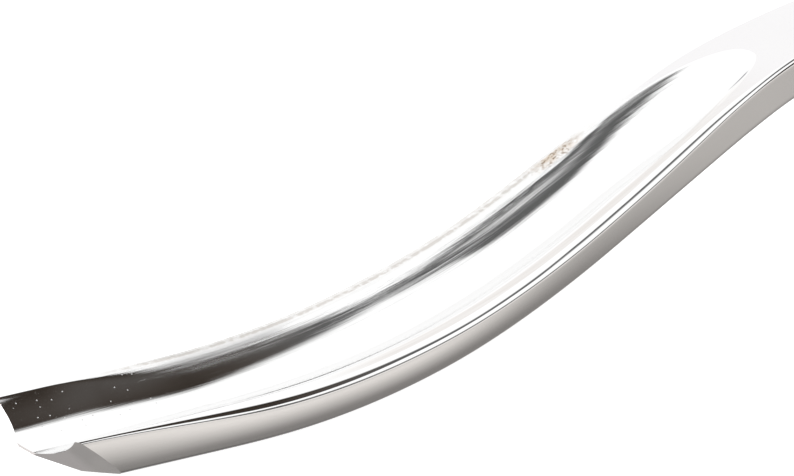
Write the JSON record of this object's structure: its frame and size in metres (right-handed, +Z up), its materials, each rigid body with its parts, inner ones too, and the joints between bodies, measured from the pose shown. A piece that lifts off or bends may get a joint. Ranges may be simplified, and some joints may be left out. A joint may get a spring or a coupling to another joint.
{
  "type": "tyre lever",
  "caption": "Chrome-plated tyre lever with a hollow S-bent spoon, a flat shank and an oval soft-grip handle with a hanging hole.",
  "frame": {"origin": "centre of the bounding box at its lowest level, the surface the lever lies on", "axes": "+X from the spoon's tip to the handle's tail, +Z up out of the spoon's hollow, Y across the lever"},
  "size_m": [0.4, 0.036, 0.043],
  "materials": {
    "bar_chrome": "mirror-polished top, satin sides",
    "ferrule_chrome": "polished",
    "core_plastic": "fine spark-eroded texture",
    "grip_rubber": "matt, soft",
    "pin_steel": "drawn",
    "eyelet_steel": "nickel-plated",
    "plug_plastic": "matt"
  },
  "bodies": {
    "root": {"lever_bar": "bar_chrome", "front_ferrule": "ferrule_chrome", "handle_core": "core_plastic", "soft_grip": "grip_rubber", "tang_pins": "pin_steel", "hang_eyelet": "eyelet_steel", "end_plug": "plug_plastic"}
  },
  "joints": []
}
